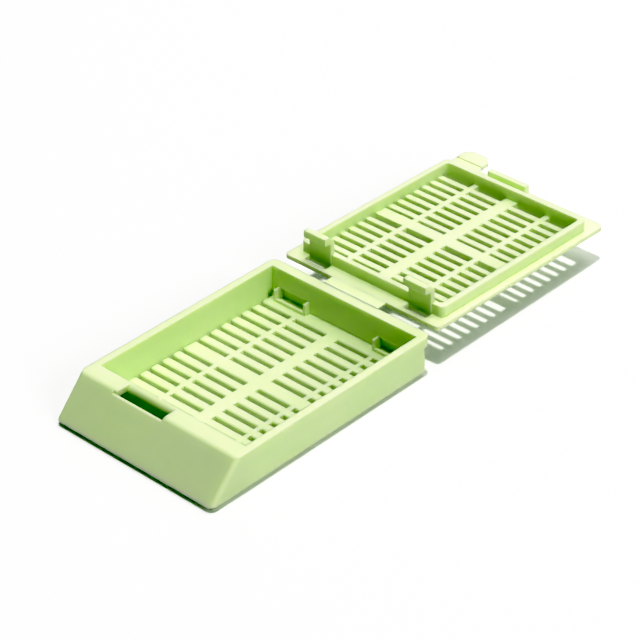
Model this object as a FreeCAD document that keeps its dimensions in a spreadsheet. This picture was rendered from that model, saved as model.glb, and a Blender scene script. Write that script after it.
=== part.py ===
import FreeCAD, Part
import math
import os
import Sketcher

# Tissue cassette: a shallow slotted tray with a slanted writing face, and a
# slotted lid moulded with it on a thin strap that bends as the hinge.
#
# Frame, in millimetres: origin at the centre of the tray's underside, +X
# across the tray, +Y from the slanted face towards the hinge, +Z up.  The tray
# stands on its foot ring at z = 0 and the lid lies open behind it.
#
# "Setback" is the distance from the lower front edge of the slanted face.

doc = FreeCAD.newDocument("TissueCassette")
sheet = doc.addObject("Spreadsheet::Sheet", "Dim")
sheet.Label = "Dim"

DIMENSIONS = [
    # overall tray
    ("base_width", 28.5, "tray, side to side"),
    ("base_length", 40.6, "front edge to rear lip"),
    ("crease_setback", 4.84, "top edge of the slanted face"),
    ("ledge_end", 7.3, "front end of the tray's well"),
    ("well_end", 38.99, "rear end of the well"),
    ("wall_rear", 39.7, "outer face of the rear wall"),
    ("side_wall", 1.15, "side wall thickness"),
    ("slant_wall", 1.36, "slanted wall, measured level"),
    ("roof_thickness", 0.95, "ledge over the front hollow"),
    ("hollow_end", 6.35, "rear end of the hollow under the ledge"),
    # heights above the table
    ("skirt_height", 0.65, "lower edge of the outer walls"),
    ("floor_under", 0.1, "underside of the slotted floor"),
    ("floor_top", 1.08, "top of the slotted floor"),
    ("rim_top", 5.88, "top of the tray's walls"),
    ("lip_under", 4.35, "underside of the rear lip"),
    ("corner_radius", 0.6, "outer upright corners"),
    ("toe_radius", 0.95, "front lower corners, seen from above"),
    ("crease_radius", 0.9, "rounding between the slanted face and the ledge"),
    ("lip_radius", 1.1, "rear lip corners"),
    # foot ring
    ("foot_inset", 0.6, "foot ring, in from the outer walls"),
    ("foot_rear", 18.95, "rear edge of the foot ring"),
    ("foot_rear_inner", 18.05, "inner rear edge of the foot ring"),
    ("foot_radius", 0.5, "foot ring corners"),
    # floor grid
    ("floor_pitch", 2.0, "slot spacing"),
    ("floor_slot", 0.77, "slot width"),
    ("slot_lead", 0.2, "bevel along the far edge of a slot, measured level"),
    ("slot_lead_depth", 0.15, "the same bevel, measured down"),
    ("floor_rear_first", 36.8, "far edge of the rearmost slot"),
    ("floor_front_first", 21.8, "far edge of the front block's first slot"),
    ("floor_rows", 7, "slots in each block"),
    ("floor_spine", 1.03, "half width of the middle rib"),
    ("floor_rib_in", 6.71, "inner side of the narrow rib"),
    ("floor_rib_out", 7.43, "outer side of the narrow rib"),
    ("cross_rib_start", 22.15, "wide cross rib, near side"),
    ("cross_rib_end", 23.65, "wide cross rib, far side"),
    # latch slot in the ledge
    ("latch_left", 7.2, "slot, left end from the middle"),
    ("latch_right", 1.2, "slot, right end from the middle"),
    ("latch_front", 4.74, "slot, front edge setback"),
    ("latch_depth", 1.6, "cut depth from the top"),
    ("latch_round", 0.85, "rounded rear edge of the slot"),
    ("shelf_left", 7.8, "relief, left end"),
    ("shelf_front", 4.3, "relief, front edge setback"),
    ("shelf_depth", 0.5, "relief depth from the top"),
    # hook receivers at the rear corners
    ("post_in", 6.15, "inner fin, inner side"),
    ("post_in_out", 6.5, "inner fin, outer side"),
    ("post_out_in", 11.7, "outer fin, inner side"),
    ("post_out", 12.02, "outer fin, outer side"),
    ("post_front", 38.0, "front face of the fins and of the bar"),
    ("post_height", 1.8, "fins above the floor"),
    ("post_round", 0.15, "rounded front top corner of a fin"),
    ("bar_crest", 38.36, "rear edge of the bar's flat top"),
    ("bar_foot", 38.72, "foot of the slope behind it"),
    ("bar_height", 0.45, "above the floor"),
    ("recess_height", 1.75, "hook recess above the floor"),
    ("recess_depth", 0.6, "hook recess into the rear wall"),
    ("corner_front", 38.05, "small side recess, front end"),
    ("corner_height", 0.85, "small side recess above the floor"),
    ("corner_depth", 0.5, "small side recess into the side wall"),
    # hinge
    ("hinge_setback", 41.35, "bending line"),
    ("hinge_height", 5.895, "bending line above the table"),
    ("strap_left", 5.0, "strap, left side"),
    ("strap_right", 4.8, "strap, right side"),
    ("strap_end", 42.35, "strap's end at the lid"),
    ("strap_thickness", 0.32, "strap away from the groove"),
    ("groove_half", 0.55, "half width of the bending groove"),
    ("groove_depth", 0.12, "groove depth"),
    ("lid_droop", 0.92, "open lid, degrees below level"),
    # lid
    ("lid_half_width", 13.9, "flange, half width"),
    ("lid_near", 42.36, "flange edge at the hinge"),
    ("lid_far", 77.45, "flange edge away from the hinge"),
    ("lid_thickness", 0.6, "flange"),
    ("panel_thickness", 1.05, "slotted panel inside the rim"),
    ("lid_far_radius", 0.9, "flange far corner"),
    ("lid_near_radius", 0.5, "flange near corners"),
    ("ring_half_width", 12.83, "rim, outer half width"),
    ("ring_inner_half", 11.95, "rim, inner half width"),
    ("ring_near", 44.45, "rim, outer near face"),
    ("ring_near_inner", 45.3, "rim, inner near face"),
    ("ring_far_inner", 74.1, "rim, inner far face"),
    ("ring_far", 74.95, "rim, outer far face"),
    ("ring_height", 1.65, "rim above the panel"),
    ("ring_radius", 0.8, "rim outer corners"),
    ("ring_inner_radius", 0.5, "rim inner corners"),
    ("lid_pitch", 1.777, "lid slot spacing"),
    ("lid_slot", 0.8, "lid slot width"),
    ("lid_rows", 6, "full slots in each block"),
    ("lid_far_first", 71.94, "far edge of the far block's first slot"),
    ("lid_near_first", 56.62, "far edge of the near block's first slot"),
    ("lid_end_slot_near", 72.9, "slot against the far rim, near edge"),
    ("lid_thin_near", 60.73, "thin slot, near edge"),
    ("lid_thin_far", 61.28, "thin slot, far edge"),
    ("lid_wide_near", 57.52, "wide slot, near edge"),
    ("lid_wide_far", 58.7, "wide slot, far edge"),
    ("lid_last_far", 45.97, "slot against the near rim, far edge"),
    ("lid_spine", 1.03, "half width of the middle rib"),
    ("lid_rib_in", 6.06, "inner side of the narrow rib"),
    ("lid_rib_out", 6.96, "outer side of the narrow rib"),
    # hooks
    ("hook_in", 7.05, "hook, inner side"),
    ("hook_out", 11.0, "hook, outer side"),
    ("hook_front", 44.25, "plate, hinge side"),
    ("hook_back", 44.97, "plate, far side"),
    ("hook_height", 4.52, "above the flange"),
    ("hook_crest", 44.06, "far end of the flat tip"),
    ("hook_slope", 0.86, "height of the slope behind the tip"),
    ("hook_fillet", 0.45, "hollow rounding under the barb"),
    ("barb_front", 43.15, "barb, hinge side"),
    ("barb_height", 1.05, "barb, along the plate"),
    ("relief_near", 43.15, "opening in the flange under the barb"),
    # locking tongue
    ("tongue_left", 6.45, "left end from the middle"),
    ("tongue_right", 0.45, "right end from the middle"),
    ("tongue_near", 76.5, "near face"),
    ("tongue_far", 77.4, "far face"),
    ("tongue_height", 1.3, "above the flange"),
    # thumb tab
    ("tab_inner", 9.15, "tab, inner side from the middle"),
    ("tab_root", 8.45, "foot of the fillet to the flange"),
    ("tab_shoulder", 78.3, "end of that fillet"),
    ("tab_step", 78.4, "step up to the finger pad"),
    ("tab_end", 81.05, "far end"),
    ("tab_chamfer_left", 1.0, "left corner"),
    ("tab_chamfer_right", 1.2, "right corner"),
    ("tab_under", 0.5, "tab root thickness"),
    ("pad_rise", 0.12, "finger pad above the flange"),
    ("pad_thickness", 0.5, "finger pad thickness"),
]


class Size:
    """A length with its spreadsheet expression, so that both stay in step."""

    def __init__(self, value, text):
        self.value = float(value)
        self.text = text

    @staticmethod
    def of(other):
        return other if isinstance(other, Size) else Size(other, repr(float(other)))

    def __add__(self, other):
        o = Size.of(other)
        return Size(self.value + o.value, "(%s + %s)" % (self.text, o.text))

    def __radd__(self, other):
        return Size.of(other) + self

    def __sub__(self, other):
        o = Size.of(other)
        return Size(self.value - o.value, "(%s - %s)" % (self.text, o.text))

    def __rsub__(self, other):
        return Size.of(other) - self

    def __mul__(self, other):
        o = Size.of(other)
        return Size(self.value * o.value, "(%s * %s)" % (self.text, o.text))

    __rmul__ = __mul__

    def __truediv__(self, other):
        o = Size.of(other)
        return Size(self.value / o.value, "(%s / %s)" % (self.text, o.text))

    def __neg__(self):
        return Size(-self.value, "(-1 * %s)" % self.text)


D = {}
for row, (word, number, note) in enumerate(DIMENSIONS, start=1):
    sheet.set("A%d" % row, word)
    sheet.set("B%d" % row, str(number))
    sheet.set("C%d" % row, note)
    sheet.setAlias("B%d" % row, word)
    D[word] = Size(number, "Dim." + word)
doc.recompute()


def along(setback):
    """Y of a setback from the front edge."""
    return D[setback] - D["base_length"] / 2 if isinstance(setback, str) else setback - D["base_length"] / 2


def new_body(name):
    body = doc.addObject("PartDesign::Body", name)
    body.Label = name
    return body


def sketch(body, name, role, offset):
    """A sketch on one of the body's own origin planes, moved along its normal."""
    sk = body.newObject("Sketcher::SketchObject", name)
    plane = [p for p in body.Origin.OriginFeatures if p.Role == role][0]
    sk.AttachmentSupport = (plane, [""])
    sk.MapMode = "FlatFace"
    offset = Size.of(offset)
    sk.AttachmentOffset = FreeCAD.Placement(FreeCAD.Vector(0, 0, offset.value), FreeCAD.Rotation())
    sk.setExpression("AttachmentOffset.Base.z", offset.text)
    return sk


def loop(sk, points):
    """A closed outline, each corner held by two driven distances."""
    points = [(Size.of(x), Size.of(y)) for x, y in points]
    first = sk.GeometryCount
    count = len(points)
    for i in range(count):
        (xa, ya), (xb, yb) = points[i], points[(i + 1) % count]
        sk.addGeometry(Part.LineSegment(FreeCAD.Vector(xa.value, ya.value, 0),
                                        FreeCAD.Vector(xb.value, yb.value, 0)), False)
    for i in range(count):
        sk.addConstraint(Sketcher.Constraint("Coincident", first + i, 2, first + (i + 1) % count, 1))
    for i, (x, y) in enumerate(points):
        for word, size in (("DistanceX", x), ("DistanceY", y)):
            number = sk.addConstraint(Sketcher.Constraint(word, -1, 1, first + i, 1, size.value))
            sk.setExpression("Constraints[%d]" % number, size.text)


def rect(sk, x0, x1, y0, y1):
    loop(sk, [(x0, y0), (x1, y0), (x1, y1), (x0, y1)])


def both_sides(sk, x0, x1, y0, y1):
    """The same rectangle left and right of the middle."""
    rect(sk, x0, x1, y0, y1)
    rect(sk, -x1, -x0, y0, y1)


def pad(body, name, sk, length):
    before = body.Shape.Volume if not body.Shape.isNull() else 0.0
    length = Size.of(length)
    f = body.newObject("PartDesign::Pad", name)
    f.Profile = sk
    f.Length = length.value
    f.setExpression("Length", length.text)
    doc.recompute()
    if not body.Shape.Volume > before + 1e-4:
        raise RuntimeError("%s adds nothing" % name)
    return f


def pocket(body, name, sk, depth, up=False):
    """Cuts along the sketch's normal if up, else against it."""
    before = body.Shape.Volume
    depth = Size.of(depth)
    f = body.newObject("PartDesign::Pocket", name)
    f.Profile = sk
    f.Length = depth.value
    f.setExpression("Length", depth.text)
    f.Reversed = up
    doc.recompute()
    if not body.Shape.Volume < before - 1e-4:
        raise RuntimeError("%s cuts nothing" % name)
    return f


def rounded(body, name, feature, test, radius, expected):
    edges = ["Edge%d" % (i + 1) for i, e in enumerate(feature.Shape.Edges) if test(e)]
    if len(edges) != expected:
        raise RuntimeError("%s finds %d edges, not %d" % (name, len(edges), expected))
    f = body.newObject("PartDesign::Fillet", name)
    f.Base = (feature, edges)
    f.Radius = radius.value
    f.setExpression("Radius", radius.text)
    body.Tip = f
    doc.recompute()
    return f


def rows(body, name, cuts, step, count):
    """Repeats a few cuts towards the front."""
    before = body.Shape.Volume
    f = body.newObject("PartDesign::LinearPattern", name)
    f.Originals = cuts
    axis = [a for a in body.Origin.OriginFeatures if a.Role == "Y_Axis"][0]
    f.Direction = (axis, [""])
    f.Reversed = True
    f.Length = (step * (count - 1)).value
    f.setExpression("Length", (step * (count - 1)).text)
    f.Occurrences = int(count.value)
    f.setExpression("Occurrences", count.text)
    body.Tip = f
    doc.recompute()
    if not body.Shape.Volume < before - 1e-4:
        raise RuntimeError("%s repeats nothing" % name)
    return f


def near(a, b, tol=1e-3):
    return abs(a - b) < tol


def ends(edge):
    return [v.Point for v in edge.Vertexes]


half = D["base_width"] / 2
well = half - D["side_wall"]
top = D["rim_top"]

# ---------------------------------------------------------------- the tray
base = new_body("base")

# outer block: a side profile with the slanted face, swept across
sk = sketch(base, "base_profile", "YZ_Plane", -half)
loop(sk, [(-D["base_length"] / 2, D["skirt_height"]),
          (along("crease_setback"), top),
          (along("wall_rear"), top),
          (along("wall_rear"), D["skirt_height"])])
block = pad(base, "base_block", sk, D["base_width"])

y_rear = along("wall_rear").value
y_front = -D["base_length"].value / 2
y_crease = along("crease_setback").value
z_top = top.value
z_skirt = D["skirt_height"].value


def upright(edge, y):
    p = ends(edge)
    return len(p) == 2 and near(abs(p[0].x), half.value) and near(p[0].x, p[1].x) \
        and near(p[0].y, y) and near(p[1].y, y)


def slanted(edge):
    p = ends(edge)
    if len(p) != 2 or not near(abs(p[0].x), half.value) or not near(p[0].x, p[1].x):
        return False
    lows = sorted(p, key=lambda v: v.z)
    return near(lows[0].y, y_front) and near(lows[1].y, y_crease)


corners = rounded(base, "outer_corners", block,
                  lambda e: upright(e, y_rear) or slanted(e), D["corner_radius"], 4)

# the crease between the slanted face and the ledge is rounded
rise = (top - D["skirt_height"]).value
run = D["crease_setback"].value
lean = math.atan2(rise, run)
turn = lean / 5
reach = D["crease_radius"] * math.tan(lean / 2)
y_arc = along("crease_setback") + reach
z_arc = top - D["crease_radius"]
arc = [(y_arc - D["crease_radius"] * math.sin(turn * i), z_arc + D["crease_radius"] * math.cos(turn * i))
       for i in range(6)]
sk = sketch(base, "crease_profile", "YZ_Plane", -half - 0.1)
loop(sk, arc + [(arc[5][0] - math.sin(lean), arc[5][1] + math.cos(lean)), (arc[0][0], arc[0][1] + 1.0)])
pocket(base, "crease_rounding", sk, D["base_width"] + 0.2, up=True)

# the front lower corners are rounder, as seen from above
y_toe = D["toe_radius"] - D["base_length"] / 2
x_toe = half - D["toe_radius"]
sk = sketch(base, "toe_outline", "XY_Plane", 0.0)
for side in (1.0, -1.0):
    quarter = [((x_toe + D["toe_radius"] * math.sin(math.radians(15.0 * i))) * side,
                y_toe - D["toe_radius"] * math.cos(math.radians(15.0 * i))) for i in range(7)]
    loop(sk, quarter + [((half + 0.5) * side, y_toe), ((half + 0.5) * side, -D["base_length"] / 2 - 0.5),
                        (x_toe * side, -D["base_length"] / 2 - 0.5)])
pocket(base, "toe_rounding", sk, 4.0, up=True)

# foot ring: the part that touches the table
sk = sketch(base, "foot_outline", "XY_Plane", 0.0)
foot_half = half - D["foot_inset"]
foot_front = D["foot_inset"] - D["base_length"] / 2
rect(sk, -foot_half, foot_half, foot_front, D["foot_rear"])
foot = pad(base, "foot_block", sk, D["skirt_height"])
foot_round = rounded(base, "foot_corners", foot,
                     lambda e: len(ends(e)) == 2 and near(abs(ends(e)[0].x), foot_half.value)
                     and near(ends(e)[0].x, ends(e)[1].x) and near(ends(e)[0].y, ends(e)[1].y)
                     and min(v.z for v in ends(e)) < 1e-3,
                     D["foot_radius"], 4)

# rear lip: a band that stands out behind the rear wall along its top
sk = sketch(base, "lip_outline", "XY_Plane", D["lip_under"])
rect(sk, -half, half, D["foot_rear_inner"], D["base_length"] / 2)
lip = pad(base, "lip_block", sk, top - D["lip_under"])
y_lip = D["base_length"].value / 2
lip_round = rounded(base, "lip_corners", lip, lambda e: upright(e, y_lip), D["lip_radius"], 2)

# the well that holds the tissue
sk = sketch(base, "well_outline", "XY_Plane", top)
rect(sk, -well, well, along("ledge_end"), along("well_end"))
pocket(base, "well", sk, top - D["floor_top"])

# hollow behind the slanted face, open below
slope = (D["crease_setback"]) / (top - D["skirt_height"])
roof_under = top - D["roof_thickness"]
inner_foot = D["slant_wall"] - D["base_length"] / 2
inner_roof = inner_foot + (roof_under - D["skirt_height"]) * slope
sk = sketch(base, "hollow_profile", "YZ_Plane", -well)
loop(sk, [(inner_foot, -0.5), (inner_foot, D["skirt_height"]), (inner_roof, roof_under),
          (along("hollow_end"), roof_under), (along("hollow_end"), -0.5)])
pocket(base, "front_hollow", sk, well * 2, up=True)

# four shallow bays under the floor; the spine and the cross rib stand between them
sk = sketch(base, "bays_outline", "XY_Plane", 0.0)
both_sides(sk, D["floor_spine"], well, along("ledge_end"), along("cross_rib_start"))
both_sides(sk, D["floor_spine"], well, along("cross_rib_end"), D["foot_rear_inner"])
pocket(base, "floor_bays", sk, D["floor_under"], up=True)


# slots through the floor, four columns, two blocks of rows
def floor_row(name, far_edge):
    sk = sketch(base, name + "_outline", "XY_Plane", D["floor_top"])
    near_edge = along(far_edge) - D["floor_slot"]
    both_sides(sk, D["floor_spine"], D["floor_rib_in"], near_edge, along(far_edge))
    both_sides(sk, D["floor_rib_out"], well, near_edge, along(far_edge))
    first = pocket(base, name, sk, D["floor_top"] + 0.5)
    sk = sketch(base, name + "_lead_outline", "XY_Plane", D["floor_top"])
    lead_edge = along(far_edge) + D["slot_lead"]
    both_sides(sk, D["floor_spine"], D["floor_rib_in"], near_edge, lead_edge)
    both_sides(sk, D["floor_rib_out"], well, near_edge, lead_edge)
    lead = pocket(base, name + "_lead", sk, D["slot_lead_depth"])
    lead.TaperAngle = -math.degrees(math.atan(D["slot_lead"].value / D["slot_lead_depth"].value))
    lead.setExpression("TaperAngle", "-1 * atan(Dim.slot_lead / Dim.slot_lead_depth)")
    doc.recompute()
    return rows(base, name + "_rows", [first, lead], D["floor_pitch"], D["floor_rows"])


floor_row("rear_slots", "floor_rear_first")
floor_row("front_slots", "floor_front_first")

# latch slot through the ledge, and the shallow relief along its front edge
sk = sketch(base, "latch_outline", "XY_Plane", top)
rect(sk, -D["latch_left"], D["latch_right"], along("latch_front"), along("hollow_end"))
latch = pocket(base, "latch_slot", sk, D["latch_depth"])
y_latch = along("hollow_end").value
rounded(base, "latch_edge", latch,
        lambda e: len(ends(e)) == 2 and all(near(v.z, z_top) and near(v.y, y_latch) for v in ends(e)),
        D["latch_round"], 1)
sk = sketch(base, "relief_outline", "XY_Plane", top)
rect(sk, -D["shelf_left"], D["latch_right"], along("shelf_front"), along("latch_front") + 0.05)
pocket(base, "latch_relief", sk, D["shelf_depth"])

# hook receivers: two thin fins and a low wedge between them at each rear corner
sk = sketch(base, "fins_outline", "XY_Plane", D["floor_top"])
both_sides(sk, D["post_in"], D["post_in_out"], along("post_front"), along("well_end") + 0.2)
both_sides(sk, D["post_out_in"], D["post_out"], along("post_front"), along("well_end") + 0.2)
fins = pad(base, "fins", sk, D["post_height"])
z_post = D["floor_top"].value + D["post_height"].value
y_post = along("post_front").value
rounded(base, "fin_tops", fins,
        lambda e: len(ends(e)) == 2 and all(near(v.z, z_post) and near(v.y, y_post) for v in ends(e)),
        D["post_round"], 4)
for side, x0 in (("left", -D["post_out_in"] - 0.1), ("right", D["post_in_out"] - 0.1)):
    sk = sketch(base, "bar_profile_" + side, "YZ_Plane", x0)
    floor = D["floor_top"]
    loop(sk, [(along("post_front"), floor - 0.2), (along("post_front"), floor + D["bar_height"]),
              (along("bar_crest"), floor + D["bar_height"]), (along("bar_foot"), floor),
              (along("bar_foot"), floor - 0.2)])
    pad(base, "bar_" + side, sk, D["post_out_in"] - D["post_in_out"] + 0.2)

# blind recesses: one in the rear wall for each hook's barb, one low in each side wall
sk = sketch(base, "recess_outline", "XY_Plane", D["floor_top"])
both_sides(sk, D["post_in_out"], D["post_out_in"], along("well_end") - 0.1, along("well_end") + D["recess_depth"])
pocket(base, "hook_recesses", sk, D["recess_height"], up=True)
sk = sketch(base, "corner_outline", "XY_Plane", D["floor_top"])
both_sides(sk, well - 0.1, well + D["corner_depth"], along("corner_front"), along("well_end"))
pocket(base, "corner_recesses", sk, D["corner_height"], up=True)

# ---------------------------------------------------------------- the lid
# Drawn level and open, inside upwards, then turned down by its droop.
lid = new_body("lid")
lid_half = D["lid_half_width"]

sk = sketch(lid, "flange_outline", "XY_Plane", top - D["lid_thickness"])
rect(sk, -lid_half, lid_half, along("lid_near"), along("lid_far"))
flange = pad(lid, "flange", sk, D["lid_thickness"])
y_near = along("lid_near").value
y_far = along("lid_far").value


def corner(edge, x, y):
    p = ends(edge)
    return len(p) == 2 and near(p[0].x, x) and near(p[1].x, x) and near(p[0].y, y) and near(p[1].y, y)


flange = rounded(lid, "flange_near_corners", flange,
                 lambda e: corner(e, lid_half.value, y_near) or corner(e, -lid_half.value, y_near),
                 D["lid_near_radius"], 2)
flange = rounded(lid, "flange_far_corner", flange,
                 lambda e: corner(e, lid_half.value, y_far), D["lid_far_radius"], 1)

# thumb tab: a root level with the flange and a raised finger pad
sk = sketch(lid, "tab_root_outline", "XY_Plane", top - D["tab_under"])
loop(sk, [(-lid_half, along("lid_far") - 0.2), (-D["tab_root"], along("lid_far") - 0.2),
          (-D["tab_root"], along("lid_far")), (-D["tab_inner"], along("tab_shoulder")),
          (-D["tab_inner"], along("tab_step") + 0.4), (-lid_half, along("tab_step") + 0.4)])
pad(lid, "tab_root_pad", sk, D["tab_under"])
sk = sketch(lid, "finger_outline", "XY_Plane", top + D["pad_rise"] - D["pad_thickness"])
loop(sk, [(-lid_half, along("tab_step")), (-D["tab_inner"], along("tab_step")),
          (-D["tab_inner"], along("tab_end") - D["tab_chamfer_right"]),
          (-D["tab_inner"] - D["tab_chamfer_right"], along("tab_end")),
          (-lid_half + D["tab_chamfer_left"], along("tab_end")),
          (-lid_half, along("tab_end") - D["tab_chamfer_left"])])
pad(lid, "finger_pad", sk, D["pad_thickness"])

# rim: an upright ring that drops into the tray's well when the lid is closed
sk = sketch(lid, "ring_outline", "XY_Plane", top)
rect(sk, -D["ring_half_width"], D["ring_half_width"], along("ring_near"), along("ring_far"))
rect(sk, -D["ring_inner_half"], D["ring_inner_half"], along("ring_near_inner"), along("ring_far_inner"))
ring = pad(lid, "ring", sk, D["ring_height"])


def ring_corner(edge, x, y0, y1):
    p = ends(edge)
    return len(p) == 2 and near(abs(p[0].x), x) and near(p[0].x, p[1].x) and near(p[0].y, p[1].y) \
        and (near(p[0].y, y0) or near(p[0].y, y1)) and max(v.z for v in p) > z_top + 0.1


ring = rounded(lid, "ring_corners", ring,
               lambda e: ring_corner(e, D["ring_half_width"].value,
                                     along("ring_near").value, along("ring_far").value),
               D["ring_radius"], 4)
ring = rounded(lid, "ring_inner_corners", ring,
               lambda e: ring_corner(e, D["ring_inner_half"].value,
                                     along("ring_near_inner").value, along("ring_far_inner").value),
               D["ring_inner_radius"], 4)

# the slotted panel is thicker than the flange
sk = sketch(lid, "panel_outline", "XY_Plane", top - D["panel_thickness"])
rect(sk, -D["ring_half_width"], D["ring_half_width"], along("ring_near"), along("ring_far"))
pad(lid, "panel", sk, D["panel_thickness"] - D["lid_thickness"] + 0.1)

lid_cut = D["panel_thickness"] + 0.5


def lid_columns(sk, y0, y1):
    both_sides(sk, D["lid_spine"], D["lid_rib_in"], y0, y1)
    both_sides(sk, D["lid_rib_out"], D["ring_inner_half"], y0, y1)


def lid_row(name, far_edge):
    sk = sketch(lid, name + "_outline", "XY_Plane", top)
    lid_columns(sk, along(far_edge) - D["lid_slot"], along(far_edge))
    first = pocket(lid, name, sk, lid_cut)
    return rows(lid, name + "_rows", [first], D["lid_pitch"], D["lid_rows"])


lid_row("far_slots", "lid_far_first")
lid_row("near_slots", "lid_near_first")

# the four odd slots: against the rim's ends, and each side of the cross rib
sk = sketch(lid, "odd_slots_outline", "XY_Plane", top)
lid_columns(sk, along("lid_end_slot_near"), along("ring_far_inner"))
lid_columns(sk, along("lid_thin_near"), along("lid_thin_far"))
lid_columns(sk, along("lid_wide_near"), along("lid_wide_far"))
lid_columns(sk, along("ring_near_inner"), along("lid_last_far"))
pocket(lid, "odd_slots", sk, lid_cut)

# hooks: upright plates against the rim's near face, each with a barb at its end
tip = top + D["hook_height"]
bend = [(along("hook_front") - D["hook_fillet"] * (1.0 - math.cos(math.radians(22.5 * i))),
         tip - D["barb_height"] - D["hook_fillet"] * (1.0 - math.sin(math.radians(22.5 * i)))) for i in range(5)]
for side, x0 in (("left", -D["hook_out"]), ("right", D["hook_in"])):
    sk = sketch(lid, "hook_profile_" + side, "YZ_Plane", x0)
    loop(sk, [(along("hook_front"), top - 0.2)] + bend +
         [(along("barb_front"), tip - D["barb_height"]), (along("barb_front"), tip),
          (along("hook_crest"), tip), (along("hook_back"), tip - D["hook_slope"]),
          (along("hook_back"), top - 0.2)])
    pad(lid, "hook_" + side, sk, D["hook_out"] - D["hook_in"])
sk = sketch(lid, "relief_slots_outline", "XY_Plane", top)
both_sides(sk, D["hook_in"], D["hook_out"], along("relief_near"), along("hook_front"))
pocket(lid, "relief_slots", sk, lid_cut)

# locking tongue: drops through the latch slot
sk = sketch(lid, "tongue_outline", "XY_Plane", top)
rect(sk, -D["tongue_left"], D["tongue_right"], along("tongue_near"), along("tongue_far"))
pad(lid, "tongue", sk, D["tongue_height"])

# the droop turns the lid about the hinge line
lid.setExpression("Placement", "placement(vector(0; 0; 0); rotation(vector(1; 0; 0); -1 * Dim.lid_droop); "
                               "vector(0; %s; %s))" % (along("hinge_setback").text, D["hinge_height"].text))

# ---------------------------------------------------------------- the strap
# A thin strap from the rear lip to the flange, grooved below along the hinge line.
strap = new_body("hinge_web")
y_a = D["base_length"] / 2
y_b = along("strap_end")
y_h = along("hinge_setback")
under = top - D["strap_thickness"]
sk = sketch(strap, "strap_profile", "YZ_Plane", -D["strap_left"])
loop(sk, [(y_a, under), (y_h - D["groove_half"], under),
          (y_h - D["groove_half"] / 2, under + D["groove_depth"]),
          (y_h + D["groove_half"] / 2, under + D["groove_depth"]),
          (y_h + D["groove_half"], under), (y_b, under), (y_b, top), (y_a, top)])
pad(strap, "strap", sk, D["strap_left"] + D["strap_right"])

# ---------------------------------------------------------------- output
doc.recompute()
for obj in doc.Objects:
    if "Invalid" in obj.State or "Error" in obj.State:
        raise RuntimeError("%s is %s" % (obj.Name, obj.State))
os.makedirs("parts", exist_ok=True)
for body in (base, lid, strap):
    shape = body.Shape
    if shape.isNull() or not shape.isValid() or len(shape.Solids) != 1:
        raise RuntimeError("%s: bad shape, %d solids" % (body.Label, len(shape.Solids)))
for body in (base, lid, strap):
    body.Shape.exportStep("parts/%s.step" % body.Label)
    box = body.Shape.BoundBox
    print("%-10s volume %8.2f mm3  x %.3f..%.3f  y %.3f..%.3f  z %.3f..%.3f  centre %s" % (
        body.Label, body.Shape.Volume, box.XMin, box.XMax, box.YMin, box.YMax, box.ZMin, box.ZMax,
        tuple(round(c, 3) for c in body.Shape.CenterOfGravity)))
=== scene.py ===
import math

import bmesh
import bpy
from mathutils import Matrix, Vector


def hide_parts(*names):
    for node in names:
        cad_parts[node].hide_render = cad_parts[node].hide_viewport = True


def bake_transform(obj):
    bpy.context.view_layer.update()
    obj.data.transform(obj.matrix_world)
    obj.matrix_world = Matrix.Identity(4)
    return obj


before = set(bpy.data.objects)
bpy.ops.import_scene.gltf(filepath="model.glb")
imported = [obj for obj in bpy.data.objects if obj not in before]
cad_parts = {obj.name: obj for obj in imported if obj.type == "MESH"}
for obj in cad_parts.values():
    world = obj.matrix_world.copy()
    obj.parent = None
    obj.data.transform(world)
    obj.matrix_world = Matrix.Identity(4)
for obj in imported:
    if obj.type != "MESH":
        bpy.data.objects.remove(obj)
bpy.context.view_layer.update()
MM = 0.001


# ------------------------------------------------------------------ materials
def new_material(name):
    m = bpy.data.materials.new(name)
    m.use_nodes = True
    m.node_tree.nodes.clear()
    return m, m.node_tree


def node(tree, kind, **values):
    n = tree.nodes.new(kind)
    for key, value in values.items():
        if hasattr(n, key):
            setattr(n, key, value)
        else:
            n.inputs[key].default_value = value
    return n


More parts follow.
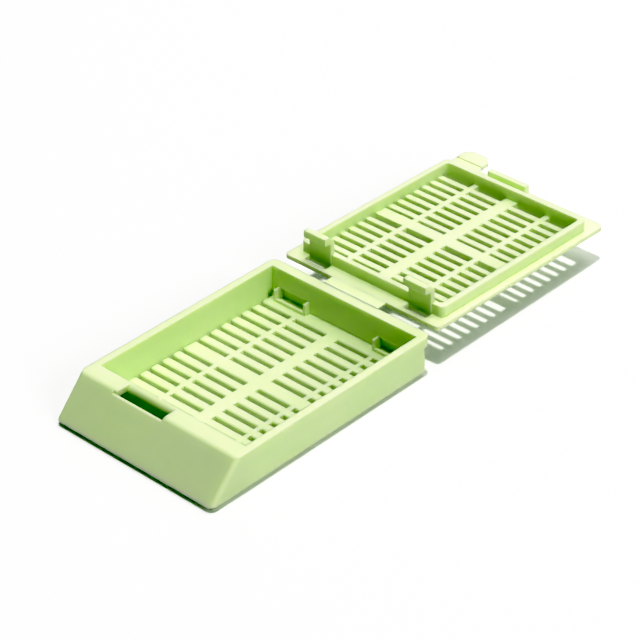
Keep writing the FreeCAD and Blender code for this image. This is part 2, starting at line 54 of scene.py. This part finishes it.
def plastic(name, depth, soft_edges=True):
    """Moulded acetal: pale lime, satin, light passes into it to about this depth."""
    m, tree = new_material(name)
    link = tree.links.new
    out = tree.nodes.new("ShaderNodeOutputMaterial")
    shader = tree.nodes.new("ShaderNodeBsdfPrincipled")
    shader.inputs["Roughness"].default_value = 0.42
    shader.inputs["IOR"].default_value = 1.48
    shader.inputs["Subsurface Weight"].default_value = 1.0
    shader.inputs["Subsurface Radius"].default_value = (1.0, 1.0, 0.8)
    shader.inputs["Subsurface Scale"].default_value = depth
    link(shader.outputs[0], out.inputs["Surface"])

    coords = tree.nodes.new("ShaderNodeTexCoord")
    # slow colour drift through the moulding
    drift = tree.nodes.new("ShaderNodeTexNoise")
    drift.inputs["Scale"].default_value = 120.0
    drift.inputs["Detail"].default_value = 3.0
    link(coords.outputs["Object"], drift.inputs["Vector"])
    ramp = tree.nodes.new("ShaderNodeValToRGB")
    ramp.color_ramp.elements[0].position = 0.3
    ramp.color_ramp.elements[0].color = (0.785, 0.905, 0.570, 1)
    ramp.color_ramp.elements[1].position = 0.7
    ramp.color_ramp.elements[1].color = (0.815, 0.930, 0.610, 1)
    link(drift.outputs["Fac"], ramp.inputs["Fac"])
    link(ramp.outputs["Color"], shader.inputs["Base Color"])

    # fine spark-eroded mould texture
    grain = tree.nodes.new("ShaderNodeTexNoise")
    grain.inputs["Scale"].default_value = 5200.0
    grain.inputs["Detail"].default_value = 2.0
    link(coords.outputs["Object"], grain.inputs["Vector"])
    rough = tree.nodes.new("ShaderNodeMapRange")
    rough.inputs["From Min"].default_value = 0.3
    rough.inputs["From Max"].default_value = 0.7
    rough.inputs["To Min"].default_value = 0.38
    rough.inputs["To Max"].default_value = 0.50
    link(grain.outputs["Fac"], rough.inputs["Value"])
    link(rough.outputs["Result"], shader.inputs["Roughness"])
    edge = tree.nodes.new("ShaderNodeBevel")
    edge.samples = 6
    # edges are softened everywhere except along the two lines where the strap grows out
    split = tree.nodes.new("ShaderNodeSeparateXYZ")
    link(coords.outputs["Object"], split.inputs[0])

    def near(axis, centre, reach):
        n = tree.nodes.new("ShaderNodeMath")
        n.operation = "COMPARE"
        link(split.outputs[axis], n.inputs[0])
        n.inputs[1].default_value, n.inputs[2].default_value = centre, reach
        return n.outputs[0]

    def combine(operation, a, b):
        n = tree.nodes.new("ShaderNodeMath")
        n.operation = operation
        link(a, n.inputs[0])
        if hasattr(b, "is_output"):
            link(b, n.inputs[1])
        else:
            n.inputs[1].default_value = b
        return n.outputs[0]

    lines = combine("MAXIMUM", near("Y", 0.02030, 0.0003), near("Y", 0.02205, 0.0003))
    seam = combine("MULTIPLY", lines, near("X", -0.0001, 0.0048))
    radius = combine("MULTIPLY", combine("LESS_THAN", seam, 0.5), 0.00018)
    link(radius, edge.inputs["Radius"])
    # the wall behind the blind recesses is very thin, so light must not bleed through it
    low = combine("MULTIPLY", near("X", 0.0, 0.0135), near("Z", 0.0022, 0.0026))
    wall = combine("MULTIPLY", near("Y", 0.01925, 0.0003), low)
    carry = combine("ADD", combine("MULTIPLY", wall, -0.95 * depth), depth)
    link(carry, shader.inputs["Subsurface Scale"])
    bump = tree.nodes.new("ShaderNodeBump")
    bump.inputs["Strength"].default_value = 0.12
    bump.inputs["Distance"].default_value = 0.00002
    link(grain.outputs["Fac"], bump.inputs["Height"])
    if soft_edges:
        link(edge.outputs["Normal"], bump.inputs["Normal"])
    link(bump.outputs["Normal"], shader.inputs["Normal"])
    return m


lime = plastic("lime_acetal", 0.0010)
thin = plastic("lime_acetal_thin", 0.0002, soft_edges=False)
for name in ("base", "lid"):
    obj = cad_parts[name]
    obj.data.materials.clear()
    obj.data.materials.append(lime)

# ------------------------------------------------------------------ strap
Y0, Y1 = 20.30, 22.05
X0, X1 = -5.0, 4.8
TOP = 5.88
HINGE = 21.05


def strap():
    bm = bmesh.new()
    ny, nx = 56, 40
    rows_top, rows_low = [], []
    for j in range(ny + 1):
        y = Y0 + (Y1 - Y0) * j / ny
        d = abs(y - HINGE)
        groove = max(0.0, min(1.0, (0.62 - d) / 0.3))
        groove = groove * groove * (3 - 2 * groove)
        top = TOP - 0.02 * groove
        low = TOP - 0.32 + 0.13 * groove
        a, b = [], []
        for i in range(nx + 1):
            x = X0 + (X1 - X0) * i / nx
            a.append(bm.verts.new((x * MM, y * MM, top * MM)))
            b.append(bm.verts.new((x * MM, y * MM, low * MM)))
        rows_top.append(a)
        rows_low.append(b)
    for j in range(ny):
        for i in range(nx):
            bm.faces.new((rows_top[j][i], rows_top[j][i + 1], rows_top[j + 1][i + 1], rows_top[j + 1][i]))
            bm.faces.new((rows_low[j][i], rows_low[j + 1][i], rows_low[j + 1][i + 1], rows_low[j][i + 1]))
    for j in range(ny):
        for i, flip in ((0, False), (nx, True)):
            q = [rows_top[j][i], rows_top[j + 1][i], rows_low[j + 1][i], rows_low[j][i]]
            bm.faces.new(q if not flip else q[::-1])
    for i in range(nx):
        for j, flip in ((0, True), (ny, False)):
            q = [rows_top[j][i], rows_top[j][i + 1], rows_low[j][i + 1], rows_low[j][i]]
            bm.faces.new(q[::-1] if flip else q)
    bmesh.ops.recalc_face_normals(bm, faces=bm.faces)
    mesh = bpy.data.meshes.new("hinge_strap")
    bm.to_mesh(mesh)
    bm.free()
    obj = bpy.data.objects.new("hinge_strap", mesh)
    bpy.context.scene.collection.objects.link(obj)
    mesh.materials.append(thin)
    return obj


web = strap()
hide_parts("hinge_web")
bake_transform(web)

# ------------------------------------------------------------------ stage
bpy.ops.mesh.primitive_plane_add(size=6.0, location=(0, 0.02, 0))
floor = bpy.context.object
floor.name = "floor"
fmat, ftree = new_material("white_sweep")
fout = ftree.nodes.new("ShaderNodeOutputMaterial")
fsh = ftree.nodes.new("ShaderNodeBsdfPrincipled")
# seen as bright white paper, but a darker floor for the light it sends back up
seen = ftree.nodes.new("ShaderNodeLightPath")
paper = ftree.nodes.new("ShaderNodeMix")
paper.data_type = "RGBA"
paper.inputs[6].default_value = (0.70, 0.70, 0.70, 1)
paper.inputs[7].default_value = (1.0, 1.0, 1.0, 1)
ftree.links.new(seen.outputs["Is Camera Ray"], paper.inputs[0])
ftree.links.new(paper.outputs[2], fsh.inputs["Base Color"])
fsh.inputs["Roughness"].default_value = 0.9
fsh.inputs["Specular IOR Level"].default_value = 0.0
ftree.links.new(fsh.outputs[0], fout.inputs["Surface"])
floor.data.materials.append(fmat)

# ------------------------------------------------------------------ light
world = bpy.data.worlds.new("studio")
bpy.context.scene.world = world
world.use_nodes = True
bg = world.node_tree.nodes["Background"]
bg.inputs["Color"].default_value = (1, 1, 1, 1)
bg.inputs["Strength"].default_value = 0.004


def aim(obj, target):
    d = Vector(target) - obj.location
    obj.rotation_mode = "QUATERNION"
    obj.rotation_quaternion = d.to_track_quat("-Z", "Y")


def sun(name, strength, direction, angle):
    data = bpy.data.lights.new(name, "SUN")
    data.energy = strength
    data.angle = math.radians(angle)
    o = bpy.data.objects.new(name, data)
    bpy.context.scene.collection.objects.link(o)
    o.location = Vector(direction)
    aim(o, (0, 0, 0))
    return o


def softbox(name, power, location, target, size_x, size_y):
    data = bpy.data.lights.new(name, "AREA")
    data.shape = "RECTANGLE"
    data.size, data.size_y = size_x, size_y
    data.energy = power
    o = bpy.data.objects.new(name, data)
    bpy.context.scene.collection.objects.link(o)
    o.location = Vector(location)
    aim(o, target)
    return o


sun("key", 0.55 * math.pi, (-0.01, 0.0, 1.0), 5.0)
softbox("top_bank", 2.6, (0.0, 0.30, 0.90), (0, 0.02, 0), 0.7, 0.7)
softbox("back_high_bank", 1.2, (0.0, 0.50, 0.85), (0, 0.02, 0), 0.6, 0.5)
softbox("back_right_bank", 1.2, (0.55, 0.70, 0.45), (0, 0.02, 0), 0.5, 0.5)
softbox("back_left_bank", 1.4, (-0.55, 0.70, 0.45), (0, 0.02, 0), 0.5, 0.5)
softbox("right_bank", 3.9, (0.95, -0.06, 0.45), (0, 0.02, 0), 0.5, 0.5)

# ------------------------------------------------------------------ camera
ROWS = ((0.7276961885042206, 0.6854876852653193, -0.023767426996293806),
        (0.36724564740477406, -0.4186565713404662, -0.8305764924049398),
        (-0.5793003467103037, 0.5956788636698799, -0.5563971600199649))
F_PIXELS = 2554.7164858411834
POSITION = (195.7745376687044, -166.71906542958686 - 20.3, 192.3148857223006 + 0.65)
cam_data = bpy.data.cameras.new("camera")
cam_data.sensor_width = 36.0
cam_data.lens = F_PIXELS / 640.0 * 36.0
cam_data.clip_start, cam_data.clip_end = 0.01, 20.0
cam = bpy.data.objects.new("camera", cam_data)
bpy.context.scene.collection.objects.link(cam)
right, down, forward = (Vector(r) for r in ROWS)
m = Matrix((right, -down, -forward)).transposed().to_4x4()
m.translation = Vector(POSITION) * MM
cam.matrix_world = m
bpy.context.scene.camera = cam

# tone: deep shadows, a soft shoulder into white
view = bpy.context.scene.view_settings
view.view_transform = "Standard"
view.use_curve_mapping = True
tone = view.curve_mapping
tone.use_clip = False
tone.clip_min_x, tone.clip_min_y, tone.clip_max_x, tone.clip_max_y = 0.0, 0.0, 4.0, 4.0
BLACKS = (0.175, 0.131, 0.143)
GAMMA, KNEE, WHITE = 1.18, 0.70, 1.24


def tone_at(x, black):
    y = max((x - black) / (1 - black), 0.0) ** GAMMA
    if y > KNEE:
        t = min((y - KNEE) / (WHITE - KNEE), 1.0)
        y = KNEE + (1 - KNEE) * (1 - (1 - t) ** 2)
    return y


stops = [0.0, 0.08, 0.128, 0.145, 0.16, 0.18, 0.21, 0.26, 0.33, 0.43, 0.55, 0.68, 0.80, 0.92, 1.05, 1.25, 1.6, 2.2]
for curve, black in zip(tone.curves, BLACKS):
    curve.points[0].location = (stops[0], tone_at(stops[0], black))
    curve.points[-1].location = (stops[-1], tone_at(stops[-1], black))
    for x in stops[1:-1]:
        curve.points.new(x, tone_at(x, black))
tone.update()
